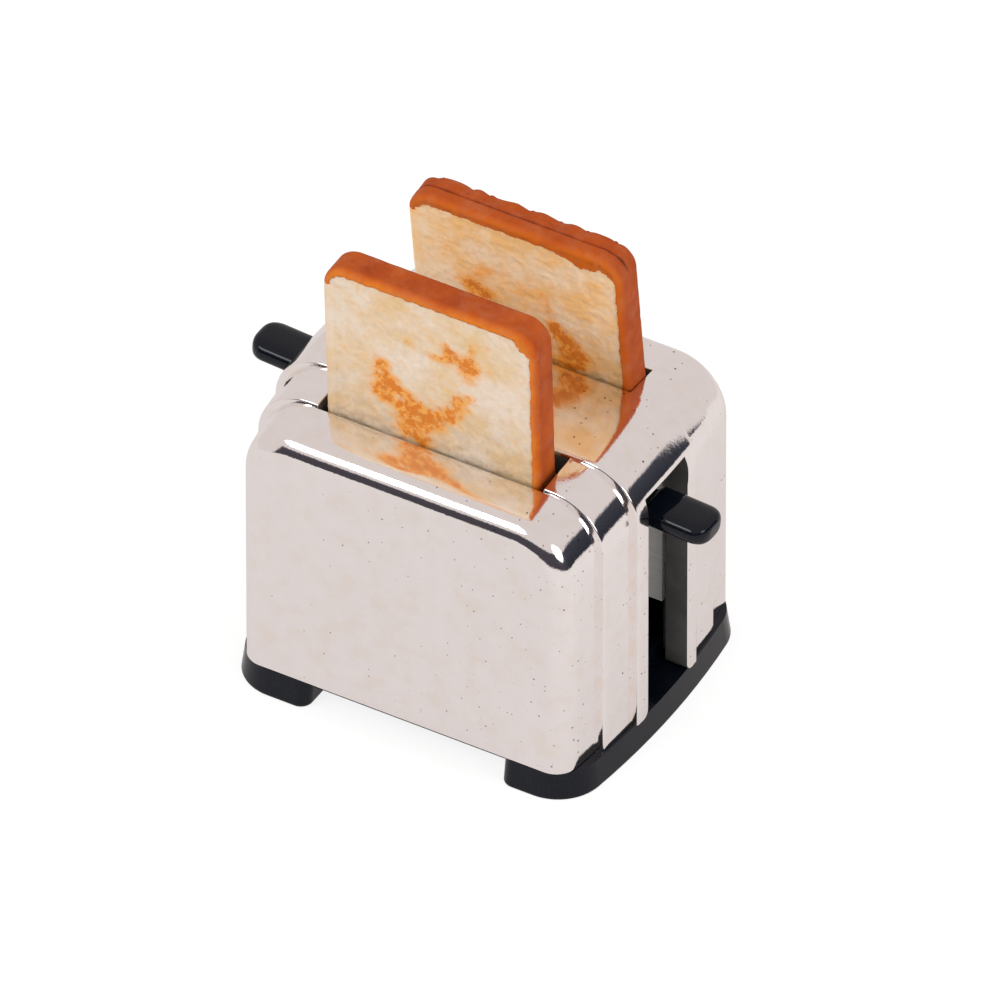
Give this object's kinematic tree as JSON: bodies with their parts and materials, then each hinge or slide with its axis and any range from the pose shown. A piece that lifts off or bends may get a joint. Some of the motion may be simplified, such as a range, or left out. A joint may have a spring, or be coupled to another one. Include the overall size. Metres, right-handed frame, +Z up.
{
  "type": "miniature toaster",
  "caption": "Miniature slot toaster: bright stepped metal shell on a dark footed base, sprung carriage with a lever through both ends, and lift-out slices of bread.",
  "frame": {"origin": "on the table, under the middle of the whole toy", "axes": "+X along the long side, through the lever; +Y to the back, across the bread slots; +Z up"},
  "size_m": [0.0388, 0.0254, 0.0392],
  "materials": {
    "plated_housing": "bright plated die casting, mirror-like with fine pits",
    "plated_inner": "bright plated sheet",
    "base_plastic": "black moulded, satin",
    "screw_steel": "zinc plated",
    "post_steel": "drawn bright wire",
    "spring_steel": "drawn spring wire",
    "carriage_plastic": "black moulded, satin",
    "knob_plastic": "black moulded, glossy",
    "crumb": "cream resin with toasted patches",
    "crust": "brown painted resin, slightly glossy"
  },
  "bodies": {
    "housing": {"housing_shell": "plated_housing", "inner_wall_front": "plated_inner", "inner_wall_rear": "plated_inner", "base_plate": "base_plastic", "base_screws": "screw_steel", "guide_post_left": "post_steel", "guide_post_right": "post_steel", "return_spring_left": "spring_steel", "return_spring_right": "spring_steel", "stop_rings": "spring_steel"},
    "carriage": {"carriage_frame": "carriage_plastic", "lever_pivot_pin": "post_steel"},
    "lever": {"lever_bar": "carriage_plastic", "lever_knob_left": "knob_plastic", "lever_knob_right": "knob_plastic"},
    "front_holder": {"front_cradle": "carriage_plastic"},
    "rear_holder": {"rear_cradle": "carriage_plastic"},
    "front_slice": {"front_crumb": "crumb", "front_crust": "crust"},
    "rear_slice": {"rear_crumb": "crumb", "rear_crust": "crust"}
  },
  "joints": [
    {"name": "carriage_slide", "type": "slide", "parent": "housing", "child": "carriage", "axis": [0, 0, 1], "range_m": [-0.011, 0], "stiffness_N_per_m": 25, "springref_m": 0.004, "deforming": ["return_spring_left", "return_spring_right"]},
    {"name": "lever_rock", "type": "hinge", "parent": "carriage", "child": "lever", "pos_m": [0, 0, 0.0208], "axis": [0, 1, 0], "range_deg": [-6.8, 0]},
    {"name": "front_cradle_tip", "type": "hinge", "parent": "carriage", "child": "front_holder", "pos_m": [0, -0.00617, 0.0197], "axis": [1, 0, 0], "range_deg": [-2.31, 0]},
    {"name": "rear_cradle_tip", "type": "hinge", "parent": "carriage", "child": "rear_holder", "pos_m": [0, 0.00617, 0.0197], "axis": [1, 0, 0], "range_deg": [-7.01, 0]},
    {"name": "front_slice_lift", "type": "slide", "parent": "front_holder", "child": "front_slice", "axis": [0, -0.0401, 0.9992], "range_m": [0, 0.012]},
    {"name": "rear_slice_lift", "type": "slide", "parent": "rear_holder", "child": "rear_slice", "axis": [0, -0.1219, 0.9925], "range_m": [0, 0.012]}
  ],
  "couplings": [
    {"joint": "front_cradle_tip", "follows": "carriage_slide", "rad_per_m": 3.6493},
    {"joint": "rear_cradle_tip", "follows": "carriage_slide", "rad_per_m": 11.107}
  ]
}
